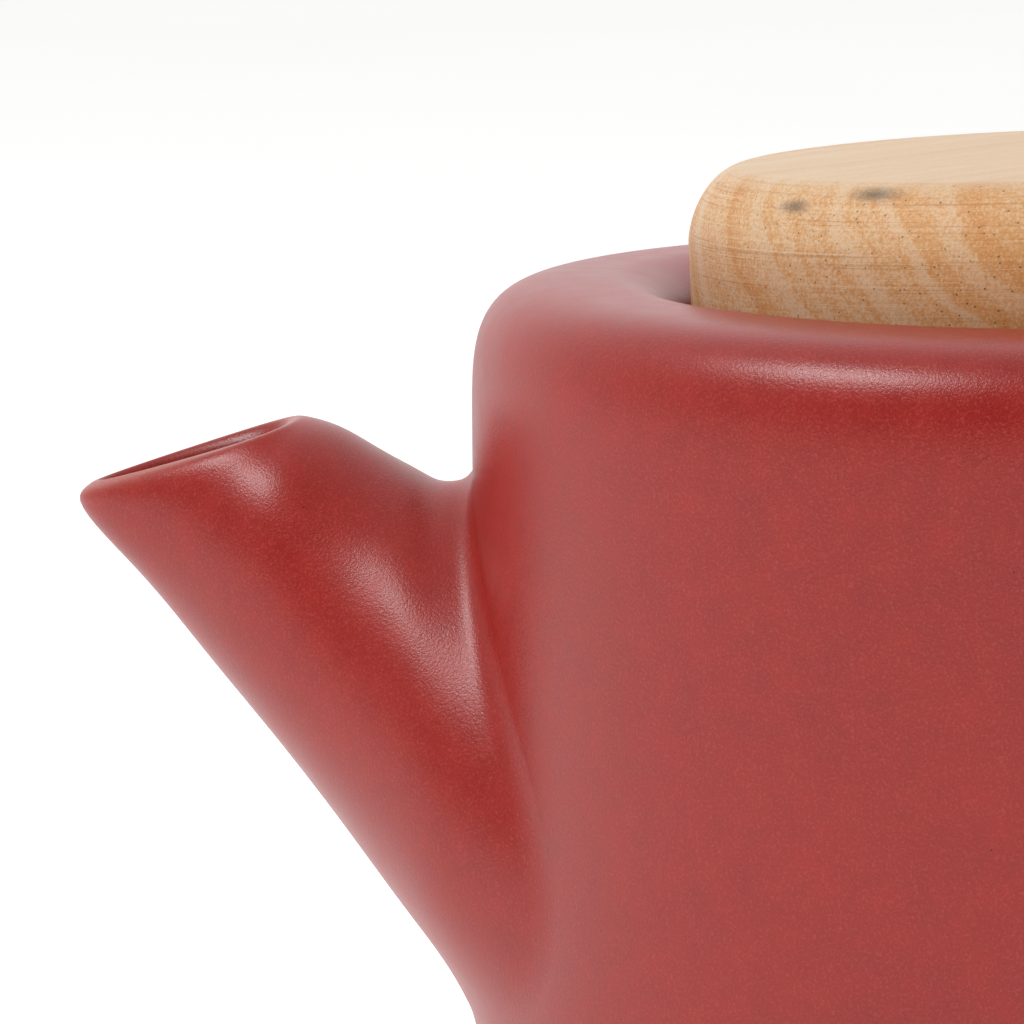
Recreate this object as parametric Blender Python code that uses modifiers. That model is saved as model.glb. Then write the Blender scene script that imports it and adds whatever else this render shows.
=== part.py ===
"""Stoneware teapot with a turned wooden lid and a lift-out steel infuser.

Metres, +Z up. The origin is the centre of the foot, on the surface that the pot stands on.
The spout points along -X and the handle along +X.
"""
import math

import bmesh
import bpy
from mathutils import Vector

MM = 0.001
GAP = 0.3 * MM                       # clearance kept between neighbouring pieces
TURNED_STEPS = 60
RING_POINTS = 28

# Pot body: a cylinder with a square shoulder that rolls over into a dished mouth.
BODY_RADIUS = 65.0 * MM
WAIST_RADIUS = 64.4 * MM             # the wall draws in slightly towards the base
CREST_HEIGHT = 112.0 * MM            # highest line of the rim
CREST_RADIUS = 50.1 * MM
SHOULDER_DEPTH = 15.8 * MM
SHOULDER_POWER = 3.64                # superellipse exponent: 2 is round, larger is squarer
WALL = 4.6 * MM
FOOT_RADIUS = 54.5 * MM
FOOT_WIDTH = 5.0 * MM
FOOT_HEIGHT = 3.0 * MM
FLOOR_TOP = 8.5 * MM
CORNER_RADIUS = 10.0 * MM

# Mouth: a slope from the crest down to the lid's recess, then a ledge that carries the infuser.
RECESS_RADIUS = 42.0 * MM
RECESS_TOP = CREST_HEIGHT - 5.5 * MM
SEAT_HEIGHT = CREST_HEIGHT - 7.6 * MM
MOUTH_RADIUS = 38.4 * MM

# Lid: a turned disc of wood with a plug underneath, and a seal ring in the plug's groove.
# Its heights are measured from the crest.
LID_RADIUS = 40.4 * MM
LID_TOP = 14.1 * MM
LID_ROUND_START = 5.7 * MM
LID_FLAT_RADIUS = 34.4 * MM
LID_POWER = 1.73
LID_UNDERSIDE = -4.3 * MM
PLUG_RADIUS = 31.6 * MM
PLUG_BOTTOM = -11.3 * MM
GROOVE_RADIUS = 29.4 * MM
GROOVE_TOP = -6.2 * MM
GROOVE_BOTTOM = -9.6 * MM
SEAL_RADIUS = 32.6 * MM
LID_LEAN = math.radians(2.65)        # the lid sits slightly askew, high on the handle side

# Infuser: a spun steel collar, a perforated wall, a pressed base ring and a perforated base.
COLLAR_STEEL = 0.8 * MM
SHEET_STEEL = 0.6 * MM
FLANGE_RADIUS = 40.8 * MM
FLANGE_TOP = SEAT_HEIGHT + GAP + COLLAR_STEEL
COLLAR_BORE = 33.4 * MM
COLLAR_LENGTH = 11.0 * MM
WALL_OVERLAP = 3.0 * MM              # how far the wall reaches up inside the collar
BASKET_RADIUS = COLLAR_BORE - GAP
BASKET_BOTTOM = 31.0 * MM
BASE_RING_HEIGHT = 5.0 * MM
BASE_LIP = 4.4 * MM                  # how far the base ring turns in under the base

# Handle: an ear-shaped loop of oval section, opposite the spout.
HANDLE_ROOT_HALF_HEIGHT = 10.5 * MM
HANDLE_ROOT_HALF_WIDTH = 13.0 * MM

# Pour hole through the body's wall, behind the spout.
POUR_HOLE_HEIGHT = 60.0 * MM
POUR_HOLE_HALF_WIDTH = 19.0 * MM
POUR_HOLE_HALF_HEIGHT = 20.0 * MM


def arc(centre, radius, start, end, steps):
    """Points of a circular arc in the (radius, height) plane, angles in degrees."""
    angles = [math.radians(start + (end - start) * i / steps) for i in range(steps + 1)]
    return [(centre[0] + radius * math.cos(a), centre[1] + radius * math.sin(a)) for a in angles]


def roll(side, top, power, steps):
    """Superellipse quarter from a crest, level there, to a side, upright there."""
    points = []
    for i in range(steps + 1):
        t = math.pi / 2 * i / steps
        across = math.sin(t) ** (2 / power)
        up = math.cos(t) ** (2 / power)
        points.append((top[0] + (side[0] - top[0]) * across, side[1] + (top[1] - side[1]) * up))
    return points


def pot_profile():
    """Half section of the pot: up the inside from the floor's centre, over the rim, down the outside."""
    inner_radius = BODY_RADIUS - WALL
    corner = (WAIST_RADIUS - WALL - CORNER_RADIUS, FLOOR_TOP + CORNER_RADIUS)
    outer_corner = (WAIST_RADIUS - CORNER_RADIUS, FOOT_HEIGHT + CORNER_RADIUS)
    ceiling = (CREST_RADIUS, CREST_HEIGHT - 1.2 * WALL)
    ledge_underside = SEAT_HEIGHT - WALL
    lip = 1.5 * MM
    inside = [(0.0, FLOOR_TOP)]
    inside += arc(corner, CORNER_RADIUS, -90, 0, 4)
    inside += roll((inner_radius, CREST_HEIGHT - SHOULDER_DEPTH), ceiling, 2.6, 5)[::-1]
    inside += [(RECESS_RADIUS + 2 * MM, ledge_underside), (MOUTH_RADIUS + lip, ledge_underside)]
    inside += [(MOUTH_RADIUS, ledge_underside + lip), (MOUTH_RADIUS, SEAT_HEIGHT - lip / 2)]
    rim = [(MOUTH_RADIUS + lip / 2, SEAT_HEIGHT), (RECESS_RADIUS, SEAT_HEIGHT)]
    rim += roll((RECESS_RADIUS, RECESS_TOP), (CREST_RADIUS, CREST_HEIGHT), 2.0, 5)[::-1]
    shoulder_foot = (BODY_RADIUS, CREST_HEIGHT - SHOULDER_DEPTH)
    outside = roll(shoulder_foot, (CREST_RADIUS, CREST_HEIGHT), SHOULDER_POWER, 10)[1:]
    outside += arc(outer_corner, CORNER_RADIUS, 0, -90, 5)
    outside += [(FOOT_RADIUS, FOOT_HEIGHT), (FOOT_RADIUS - 0.6 * MM, 0.0)]
    outside += [(FOOT_RADIUS - FOOT_WIDTH, 0.0), (FOOT_RADIUS - FOOT_WIDTH - MM, FOOT_HEIGHT)]
    outside += [(0.0, FOOT_HEIGHT)]
    return inside + rim + outside


def lid_profile():
    """Half section of the lid about its own axis, heights from the crest."""
    edge = 1.0 * MM
    outline = [(0.0, LID_TOP)]
    outline += roll((LID_RADIUS, LID_ROUND_START), (LID_FLAT_RADIUS, LID_TOP), LID_POWER, 7)
    outline += [(LID_RADIUS, LID_UNDERSIDE + edge), (LID_RADIUS - edge, LID_UNDERSIDE)]
    outline += [(PLUG_RADIUS, LID_UNDERSIDE), (PLUG_RADIUS, GROOVE_TOP)]
    outline += [(GROOVE_RADIUS, GROOVE_TOP), (GROOVE_RADIUS, GROOVE_BOTTOM)]
    outline += [(PLUG_RADIUS, GROOVE_BOTTOM), (PLUG_RADIUS, PLUG_BOTTOM + edge)]
    outline += [(PLUG_RADIUS - edge, PLUG_BOTTOM), (0.0, PLUG_BOTTOM)]
    return outline


def seal_profile():
    """Closed section of the seal: a ring that fills the groove, with a rounded bead standing proud."""
    low = GROOVE_BOTTOM + GAP
    high = GROOVE_TOP - GAP
    half = (high - low) / 2
    bead = arc((SEAL_RADIUS - half, low + half), half, 90, -90, 6)
    return [(GROOVE_RADIUS + GAP, high)] + bead + [(GROOVE_RADIUS + GAP, low)]


def collar_profile():
    """Closed section of the collar: a flat flange that rests on the pot's ledge, and a short tube."""
    tube = COLLAR_BORE + COLLAR_STEEL
    bottom = FLANGE_TOP - COLLAR_LENGTH
    edge = COLLAR_STEEL / 2
    flange_edge = arc((FLANGE_RADIUS - edge, FLANGE_TOP - edge), edge, 90, -90, 3)
    bend = [(COLLAR_BORE, FLANGE_TOP - MM), (COLLAR_BORE + MM, FLANGE_TOP)]
    return bend + flange_edge + [(tube, FLANGE_TOP - COLLAR_STEEL), (tube, bottom), (COLLAR_BORE, bottom)]


def basket_profile():
    """Closed section of the perforated wall."""
    top = FLANGE_TOP - COLLAR_LENGTH + WALL_OVERLAP
    bottom = BASKET_BOTTOM + COLLAR_STEEL + 2 * GAP + SHEET_STEEL
    inner = BASKET_RADIUS - SHEET_STEEL
    return [(inner, top), (BASKET_RADIUS, top), (BASKET_RADIUS, bottom), (inner, bottom)]


def base_ring_profile():
    """Closed section of the base ring: an upright band with a lip turned in below the base."""
    inner = BASKET_RADIUS + GAP
    outer = inner + COLLAR_STEEL
    top = BASKET_BOTTOM + BASE_RING_HEIGHT
    lip_top = BASKET_BOTTOM + COLLAR_STEEL
    lip_edge = inner - BASE_LIP
    return [(inner, top), (outer, top), (outer, BASKET_BOTTOM + MM), (outer - MM, BASKET_BOTTOM),
            (lip_edge, BASKET_BOTTOM), (lip_edge, lip_top), (inner, lip_top)]


def base_profile():
    """Half section of the perforated base, a flat disc."""
    low = BASKET_BOTTOM + COLLAR_STEEL + GAP
    high = low + SHEET_STEEL
    radius = BASKET_RADIUS - SHEET_STEEL - GAP
    return [(0.0, high), (radius, high), (radius, low), (0.0, low)]


def oval_ring(top, bottom, half_width, skew=0.0, pinch=0.0, hug=0.0):
    """Points of an oval across the XZ plane, from its top and bottom (x, z) and its half width.

    Skew moves the widest place towards the top, pinch narrows the upper half like an egg, and hug
    bends the sides back round the body, by a share of the wall's own curve.
    """
    ring = []
    for i in range(RING_POINTS):
        a = 2 * math.pi * i / RING_POINTS
        along = math.cos(a) + skew * math.sin(a) ** 2
        x = (top[0] + bottom[0]) / 2 + (top[0] - bottom[0]) / 2 * along
        z = (top[1] + bottom[1]) / 2 + (top[1] - bottom[1]) / 2 * along
        y = half_width * math.sin(a) * (1 - pinch * math.cos(a))
        ring.append(Vector((x + hug * (BODY_RADIUS - math.sqrt(BODY_RADIUS ** 2 - y ** 2)), y, z)))
    return ring


def wrap(ring, side):
    """Lay a ring on the cylinder just clear of the body, on the side of -X (-1) or +X (+1)."""
    radius = BODY_RADIUS + GAP
    return [Vector((side * math.sqrt(radius ** 2 - p.y ** 2), p.y, p.z)) for p in ring]


def shrink(ring, scale, side):
    """A smaller ring inside a root ring, laid on the same cylinder."""
    centre = sum(ring, Vector()) / len(ring)
    return wrap([centre + (p - centre) * scale for p in ring], side)


def spout_rings():
    """Rings of the spout: up the outside from the root, over the lip and back down the channel."""
    # Each ring's top (x, z), bottom (x, z), half width, skew, pinch and hug, in millimetres.
    root = ((-65.0, 88.4), (-65.0, 26.2), 34.4, 0.0, 0.27, 0.0)
    outside = [
        ((-67.0, 87.5), (-65.8, 30.2), 31.5, -0.12, 0.22, 0.75),
        ((-69.2, 87.8), (-68.4, 34.0), 28.8, -0.20, 0.18, 0.50),
        ((-72.0, 89.0), (-73.1, 39.8), 24.0, -0.24, 0.18, 0.25),
        ((-76.0, 91.2), (-80.2, 48.6), 18.6, -0.22, 0.16, 0.0),
        ((-80.2, 93.6), (-88.3, 58.4), 15.2, -0.18, 0.08, 0.0),
        ((-83.2, 94.7), (-96.5, 68.0), 13.2, -0.10, -0.04, 0.0),
        ((-84.6, 95.0), (-104.6, 77.4), 10.9, 0.02, -0.07, 0.0),
        ((-85.3, 95.0), (-111.1, 85.0), 9.0, 0.21, -0.08, 0.0),
    ]
    lip = [
        ((-86.0, 94.8), (-110.2, 86.8), 7.8, 0.29, -0.10, 0.0),
        ((-86.8, 94.3), (-109.1, 87.4), 7.0, 0.33, -0.13, 0.0),
        ((-87.3, 93.4), (-108.1, 87.0), 6.3, 0.33, -0.12, 0.0),
        ((-87.5, 92.3), (-107.0, 85.7), 5.9, 0.28, -0.1, 0.0),
    ]
    channel = [
        ((-86.6, 90.6), (-102.6, 80.2), 6.4, 0.15, 0.0, 0.0),
        ((-83.4, 89.6), (-94.8, 71.0), 8.4, 0.0, 0.0, 0.0),
        ((-78.4, 87.6), (-86.4, 61.0), 10.8, -0.10, 0.06, 0.0),
        ((-71.6, 84.2), (-76.0, 48.6), 15.0, -0.15, 0.12, 0.3),
    ]
    inner_root = ((-65.0, 81.0), (-65.0, 36.0), 22.0, -0.10, 0.12, 0.0)
    rings = [wrap(spout_ring(root), -1)]
    rings += [spout_ring(station) for station in outside + lip + channel]
    return rings + [wrap(spout_ring(inner_root), -1)]


def spout_ring(station):
    """Ring for one station of the spout, given in millimetres."""
    top, bottom, half_width, *shape = station
    ends = [(x * MM, z * MM) for x, z in (top, bottom)]
    return oval_ring(*ends, half_width * MM, *shape)


def handle_rings():
    """Rings of the handle, from the upper root round the loop to the lower root."""
    # Centre line (x, z), half thickness and half width at each station, in millimetres.
    stations = [
        (69.5, 82.8, 7.0, 10.6), (76.0, 84.8, 5.4, 9.2), (87.0, 85.4, 4.9, 8.6), (97.8, 81.4, 4.8, 8.5),
        (104.4, 72.8, 4.8, 8.5), (106.4, 62.0, 4.8, 8.5), (104.0, 51.0, 4.8, 8.5), (97.4, 41.8, 4.8, 8.5),
        (87.4, 34.6, 4.9, 8.6), (76.0, 30.0, 5.4, 9.2), (69.5, 28.8, 7.0, 10.6),
    ]
    stations = halve_steps(stations)
    rings = []
    for i, (x, z, half_thickness, half_width) in enumerate(stations):
        before = stations[max(i - 1, 0)]
        after = stations[min(i + 1, len(stations) - 1)]
        run = Vector((after[0] - before[0], after[1] - before[1])).normalized()
        out = Vector((-run.y, run.x)) * half_thickness
        top = ((x + out.x) * MM, (z + out.y) * MM)
        bottom = ((x - out.x) * MM, (z - out.y) * MM)
        rings.append(oval_ring(top, bottom, half_width * MM))
    roots = []
    for centre, turn in ((stations[0][1] - 0.8, 1), (stations[-1][1] - 0.4, -1)):
        half = turn * HANDLE_ROOT_HALF_HEIGHT
        ends = [(BODY_RADIUS, centre * MM + half), (BODY_RADIUS, centre * MM - half)]
        roots.append(wrap(oval_ring(*ends, HANDLE_ROOT_HALF_WIDTH), 1))
    return [roots[0]] + rings + [roots[1]]


def halve_steps(stations):
    """Put a station between each two, on the smooth curve through their neighbours."""
    padded = [stations[0]] + stations + [stations[-1]]
    smooth = []
    for a, b, c, d in zip(padded, padded[1:], padded[2:], padded[3:]):
        smooth += [b, tuple((9 * (q + r) - p - s) / 16 for p, q, r, s in zip(a, b, c, d))]
    return smooth + [stations[-1]]


def loft(name, rings, closed):
    """Mesh object through a list of rings: a closed tube, or a solid with its ends laid on the body."""
    mesh = bmesh.new()
    if not closed:
        start = [shrink(rings[0], scale, 1) for scale in (0.35, 0.68)]
        end = [shrink(rings[-1], scale, 1) for scale in (0.68, 0.35)]
        rings = start + rings + end
    rows = [[mesh.verts.new(p) for p in ring] for ring in rings]
    pairs = list(zip(rows, rows[1:]))
    if closed:
        pairs.append((rows[-1], rows[0]))
    for near, far in pairs:
        for i in range(RING_POINTS):
            j = (i + 1) % RING_POINTS
            mesh.faces.new((near[i], near[j], far[j], far[i]))
    if not closed:
        for row in (rows[0], rows[-1]):
            centre = sum((v.co for v in row), Vector()) / RING_POINTS
            hub = mesh.verts.new(wrap([centre], 1)[0])
            for i in range(RING_POINTS):
                mesh.faces.new((row[i], row[(i + 1) % RING_POINTS], hub))
    bmesh.ops.recalc_face_normals(mesh, faces=mesh.faces)
    return new_object(name, mesh)


def new_object(name, mesh):
    """Object in the teapot's collection from a finished bmesh."""
    data = bpy.data.meshes.new(name)
    mesh.to_mesh(data)
    mesh.free()
    obj = bpy.data.objects.new(name, data)
    bpy.data.collections["teapot"].objects.link(obj)
    return obj


def turned(name, profile, closed):
    """Object turned about Z from a half section, by a Screw modifier."""
    mesh = bmesh.new()
    verts = [mesh.verts.new((r, 0.0, z)) for r, z in profile]
    for a, b in zip(verts, verts[1:]):
        mesh.edges.new((a, b))
    if closed:
        mesh.edges.new((verts[-1], verts[0]))
    obj = new_object(name, mesh)
    screw = obj.modifiers.new("turn", "SCREW")
    screw.steps = TURNED_STEPS
    screw.render_steps = TURNED_STEPS
    screw.use_merge_vertices = True
    screw.merge_threshold = 0.00001
    screw.use_smooth_shade = False
    return obj


def cut_pour_hole(pot):
    """Cut the oval pour hole through the body's wall behind the spout."""
    mesh = bmesh.new()
    bmesh.ops.create_cone(mesh, cap_ends=True, segments=RING_POINTS, radius1=1.0, radius2=1.0, depth=1.0)
    cutter = new_object("pour_hole_cutter", mesh)
    bpy.data.collections["teapot"].objects.unlink(cutter)
    bpy.data.collections["cutters"].objects.link(cutter)
    cutter.rotation_euler = (0.0, math.pi / 2, 0.0)
    cutter.scale = (POUR_HOLE_HALF_HEIGHT, POUR_HOLE_HALF_WIDTH, 40 * MM)
    cutter.location = (-BODY_RADIUS, 0.0, POUR_HOLE_HEIGHT)
    cutter.hide_render = True
    cutter.display_type = "WIRE"
    cut = pot.modifiers.new("pour hole", "BOOLEAN")
    cut.operation = "DIFFERENCE"
    cut.solver = "EXACT"
    cut.object = cutter


def dress(obj, name, colour, roughness, metallic=0.0):
    """Give an object its own Principled material."""
    material = bpy.data.materials.new(name)
    material.use_nodes = True
    shader = material.node_tree.nodes["Principled BSDF"]
    shader.inputs["Base Color"].default_value = (*colour, 1.0)
    shader.inputs["Roughness"].default_value = roughness
    shader.inputs["Metallic"].default_value = metallic
    material.diffuse_color = (*colour, 1.0)
    obj.data.materials.append(material)


def seat_lid(obj):
    """Hang a lid piece from the centre of the crest, leaning towards the spout."""
    obj.location = (0.0, 0.0, CREST_HEIGHT)
    obj.rotation_euler = (0.0, -LID_LEAN, 0.0)


for old in list(bpy.data.objects):
    bpy.data.objects.remove(old)
for title in ("teapot", "cutters"):
    bpy.context.scene.collection.children.link(bpy.data.collections.new(title))

GLAZE = (0.34, 0.047, 0.042)
STEEL = (0.62, 0.61, 0.59)

pot_body = turned("pot_body", pot_profile(), closed=False)
cut_pour_hole(pot_body)
dress(pot_body, "brick red stoneware glaze", GLAZE, 0.42)

spout = loft("spout", spout_rings(), closed=True)
dress(spout, "brick red spout glaze", GLAZE, 0.42)

handle = loft("handle", handle_rings(), closed=False)
dress(handle, "brick red handle glaze", GLAZE, 0.42)

infuser_rim = turned("infuser_rim", collar_profile(), closed=True)
dress(infuser_rim, "polished steel", STEEL, 0.22, 1.0)

infuser_wall = turned("infuser_wall", basket_profile(), closed=True)
dress(infuser_wall, "perforated steel", STEEL, 0.32, 1.0)

infuser_base_ring = turned("infuser_base_ring", base_ring_profile(), closed=True)
dress(infuser_base_ring, "pressed steel", STEEL, 0.25, 1.0)

infuser_base = turned("infuser_base", base_profile(), closed=False)
dress(infuser_base, "perforated steel base", STEEL, 0.32, 1.0)

lid = turned("lid", lid_profile(), closed=False)
seat_lid(lid)
dress(lid, "turned acacia", (0.58, 0.36, 0.20), 0.55)

lid_seal = turned("lid_seal", seal_profile(), closed=True)
seat_lid(lid_seal)
dress(lid_seal, "translucent silicone", (0.80, 0.80, 0.77), 0.45)
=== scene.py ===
"""A brick red stoneware teapot with a turned wooden lid and a lift-out steel infuser.

The pot, its spout and its handle are slip-cast and luted together under one glaze. The lid is
turned from a block of acacia, and the infuser is spun and perforated stainless steel.
"""
import math

import bmesh
import bpy
import numpy as np
from mathutils import Matrix, Vector


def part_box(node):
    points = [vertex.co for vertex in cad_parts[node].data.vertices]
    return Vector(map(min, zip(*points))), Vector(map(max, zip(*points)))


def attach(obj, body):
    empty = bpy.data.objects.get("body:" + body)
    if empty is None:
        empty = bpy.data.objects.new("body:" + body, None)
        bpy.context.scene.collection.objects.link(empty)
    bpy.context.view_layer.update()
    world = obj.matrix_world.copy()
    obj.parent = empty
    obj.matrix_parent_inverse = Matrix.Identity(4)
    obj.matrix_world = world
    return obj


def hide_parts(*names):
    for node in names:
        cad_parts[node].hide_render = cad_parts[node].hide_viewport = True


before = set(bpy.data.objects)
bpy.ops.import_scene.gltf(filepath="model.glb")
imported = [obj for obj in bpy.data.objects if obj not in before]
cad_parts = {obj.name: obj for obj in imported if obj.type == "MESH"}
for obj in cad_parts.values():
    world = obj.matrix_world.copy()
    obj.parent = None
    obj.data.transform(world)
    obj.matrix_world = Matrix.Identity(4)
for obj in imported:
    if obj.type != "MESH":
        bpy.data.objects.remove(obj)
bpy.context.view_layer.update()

# ---- Pot body ----------------------------------------------------------------------------
# Slip-cast stoneware: a cylinder with a square shoulder that rolls over into a dished mouth.
# It is glazed inside and out, and only the foot ring is wiped bare, where it stands in the kiln.
MM = 0.001
pot_low, pot_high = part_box("pot_body")
BODY_RADIUS = pot_high.x
CREST_HEIGHT = pot_high.z
WAIST_RADIUS = BODY_RADIUS - 0.6 * MM
CREST_RADIUS = 50.1 * MM
SHOULDER_FOOT = CREST_HEIGHT - 15.8 * MM
SHOULDER_POWER = 3.64
WALL = 4.6 * MM
CORNER_RADIUS = 10.0 * MM
FLOOR_TOP = 8.5 * MM
FOOT_HEIGHT = 3.0 * MM
FOOT_RADIUS = 54.3 * MM
FOOT_WIDTH = 4.8 * MM
RECESS_RADIUS = 42.0 * MM
RECESS_TOP = CREST_HEIGHT - 5.5 * MM
SEAT_HEIGHT = CREST_HEIGHT - 7.6 * MM
MOUTH_RADIUS = 38.4 * MM
WAIST_HEIGHT = FOOT_HEIGHT + CORNER_RADIUS
LATHE_STEPS = 240
INNER_POWER = 2.6
DISH_POWER = 2.0
SHARP_ANGLE = math.radians(40)


def arc(centre, radius, start, end, steps):
    """Points of a circular arc in the (radius, height) plane, angles in degrees."""
    angles = np.radians(np.linspace(start, end, steps + 1))
    return [(centre[0] + radius * math.cos(a), centre[1] + radius * math.sin(a)) for a in angles]


def roll(side, top, power, steps):
    """Superellipse quarter from a crest, level there, to a side, upright there, in even steps."""
    t = np.linspace(0, math.pi / 2, 4001)
    across = top[0] + (side[0] - top[0]) * np.sin(t) ** (2 / power)
    up = side[1] + (top[1] - side[1]) * np.abs(np.cos(t)) ** (2 / power)
    walked = np.concatenate([[0.0], np.cumsum(np.hypot(np.diff(across), np.diff(up)))])
    even = np.linspace(0, walked[-1], steps + 1)
    return list(zip(np.interp(even, walked, across), np.interp(even, walked, up)))


def rounded(corners, steps=5):
    """Outline through corners of (radius, height, rounding), with an arc at each rounded corner."""
    outline = []
    for i, (r, z, rounding) in enumerate(corners):
        here = Vector((r, z))
        if not rounding:
            outline.append((r, z))
            continue
        before = (Vector(corners[i - 1][:2]) - here).normalized()
        after = (Vector(corners[(i + 1) % len(corners)][:2]) - here).normalized()
        half = before.angle(after) / 2
        middle = here + (before + after).normalized() * (rounding / math.sin(half))
        first = here + before * (rounding / math.tan(half)) - middle
        last = here + after * (rounding / math.tan(half)) - middle
        outline += [tuple(middle + first.slerp(last, k / steps) * rounding) for k in range(steps + 1)]
    return outline


def plain(points):
    """Points as corners without rounding."""
    return [(r, z, 0.0) for r, z in points]


def new_piece(name, mesh):
    """Smooth-shaded object from a finished bmesh, with its real edges kept sharp."""
    data = bpy.data.meshes.new(name)
    mesh.to_mesh(data)
    mesh.free()
    data.shade_smooth()
    data.set_sharp_from_angle(angle=SHARP_ANGLE)
    obj = bpy.data.objects.new(name, data)
    bpy.context.scene.collection.objects.link(obj)
    return obj


def turned(name, outline, closed, steps=LATHE_STEPS):
    """Object turned about Z from a half section that is closed or that starts and ends on the axis."""
    mesh = bmesh.new()
    rows = []
    for r, z in outline:
        if r < 1e-6:
            rows.append([mesh.verts.new((0.0, 0.0, z))] * steps)
            continue
        angles = [2 * math.pi * i / steps for i in range(steps)]
        rows.append([mesh.verts.new((r * math.cos(a), r * math.sin(a), z)) for a in angles])
    pairs = list(zip(rows, rows[1:]))
    if closed:
        pairs.append((rows[-1], rows[0]))
    for near, far in pairs:
        for i in range(steps):
            j = (i + 1) % steps
            mesh.faces.new(list(dict.fromkeys((near[i], near[j], far[j], far[i]))))
    bmesh.ops.recalc_face_normals(mesh, faces=mesh.faces)
    return new_piece(name, mesh)


def settle(obj):
    """Apply an object's modifiers, so that it is a plain mesh."""
    graph = bpy.context.evaluated_depsgraph_get()
    data = bpy.data.meshes.new_from_object(obj.evaluated_get(graph), depsgraph=graph)
    obj.modifiers.clear()
    obj.data = data


inner_crest = (CREST_RADIUS, CREST_HEIGHT - 1.2 * WALL)
inner_shoulder = roll((BODY_RADIUS - WALL, SHOULDER_FOOT), inner_crest, INNER_POWER, 16)
dish = roll((RECESS_RADIUS, RECESS_TOP), (CREST_RADIUS, CREST_HEIGHT), DISH_POWER, 16)
shoulder = roll((BODY_RADIUS, SHOULDER_FOOT), (CREST_RADIUS, CREST_HEIGHT), SHOULDER_POWER, 44)
wall_line = [(WAIST_RADIUS + (BODY_RADIUS - WAIST_RADIUS) * t,
              WAIST_HEIGHT + (SHOULDER_FOOT - WAIST_HEIGHT) * t)
             for t in np.linspace(1, 0, 22)[1:-1]]
pot_outline = [(0.0, FLOOR_TOP, 0.0)]
pot_outline += plain(arc((WAIST_RADIUS - WALL - CORNER_RADIUS, FLOOR_TOP + CORNER_RADIUS), CORNER_RADIUS, -90,
                         0, 10))
pot_outline += plain(inner_shoulder[::-1])
pot_outline += [(RECESS_RADIUS + 3 * MM, SEAT_HEIGHT - WALL, 2 * MM),
                (MOUTH_RADIUS, SEAT_HEIGHT - WALL, 1.4 * MM)]
pot_outline += [(MOUTH_RADIUS, SEAT_HEIGHT, 0.9 * MM), (RECESS_RADIUS, SEAT_HEIGHT, 0.5 * MM)]
pot_outline += plain(dish[::-1] + shoulder[1:] + wall_line)
pot_outline += plain(arc((WAIST_RADIUS - CORNER_RADIUS, WAIST_HEIGHT), CORNER_RADIUS, 0, -80, 12))
pot_outline += [(FOOT_RADIUS, FOOT_HEIGHT, 0.8 * MM), (FOOT_RADIUS - 0.5 * MM, 0.0, 0.9 * MM)]
pot_outline += [(FOOT_RADIUS - FOOT_WIDTH, 0.0, 0.9 * MM),
                (FOOT_RADIUS - FOOT_WIDTH - MM, FOOT_HEIGHT, 1.2 * MM)]
pot_outline += [(0.0, FOOT_HEIGHT, 0.0)]
glazed_body = turned("glazed_body", rounded(pot_outline), closed=False)

# The pour hole behind the spout is cut in the leather-hard wall and its edges are sponged round.
POUR_HOLE_HEIGHT = 60.0 * MM
POUR_HOLE_HALF_WIDTH = 19.0 * MM
POUR_HOLE_HALF_HEIGHT = 20.0 * MM
SPONGED_EDGE = 1.3 * MM
HOLE_POINTS = 72


def wall_radius(z):
    """Radius of the body's outside at a height on its wall, which draws in a little to the foot."""
    share = (np.clip(z, WAIST_HEIGHT, SHOULDER_FOOT) - WAIST_HEIGHT) / (SHOULDER_FOOT - WAIST_HEIGHT)
    return WAIST_RADIUS + (BODY_RADIUS - WAIST_RADIUS) * share


def hole_ring(depth, growth):
    """Ring of the cutter at a depth below the outside of the wall, grown at the sponged edges."""
    a = np.linspace(0, 2 * math.pi, HOLE_POINTS, endpoint=False)
    y = (POUR_HOLE_HALF_WIDTH + growth) * np.sin(a)
    z = POUR_HOLE_HEIGHT + (POUR_HOLE_HALF_HEIGHT + growth) * np.cos(a)
    x = -np.sqrt((wall_radius(z) - depth) ** 2 - y ** 2)
    return np.stack([x, y, z], 1)


def skin(rows, closed):
    """Bmesh over rings of points, joined end to end or closed with a hub at each end."""
    mesh = bmesh.new()
    rows = [[mesh.verts.new(p) for p in ring] for ring in rows]
    pairs = list(zip(rows, rows[1:]))
    if closed:
        pairs.append((rows[-1], rows[0]))
    else:
        for row in (rows[0], rows[-1]):
            hub = mesh.verts.new(sum((v.co for v in row), Vector()) / len(row))
            pairs.append((row, [hub] * len(row)))
    for near, far in pairs:
        for i in range(len(near)):
            j = (i + 1) % len(near)
            mesh.faces.new(list(dict.fromkeys((near[i], near[j], far[j], far[i]))))
    bmesh.ops.recalc_face_normals(mesh, faces=mesh.faces)
    return mesh


bends = np.radians(np.linspace(0, 90, 7))
outer_lip = [(SPONGED_EDGE * (1 - math.cos(b)), SPONGED_EDGE * (1 - math.sin(b))) for b in bends]
inner_lip = [(WALL - depth, growth) for depth, growth in outer_lip[::-1]]
hole_layers = [(-3 * MM, SPONGED_EDGE)] + outer_lip + inner_lip + [(WALL + 3 * MM, SPONGED_EDGE)]
cutter = new_piece("pour_hole_cutter", skin([hole_ring(*layer) for layer in hole_layers], closed=False))
cut = glazed_body.modifiers.new("pour hole", "BOOLEAN")
cut.operation = "DIFFERENCE"
cut.solver = "EXACT"
cut.object = cutter
settle(glazed_body)
bpy.data.objects.remove(cutter)

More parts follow.
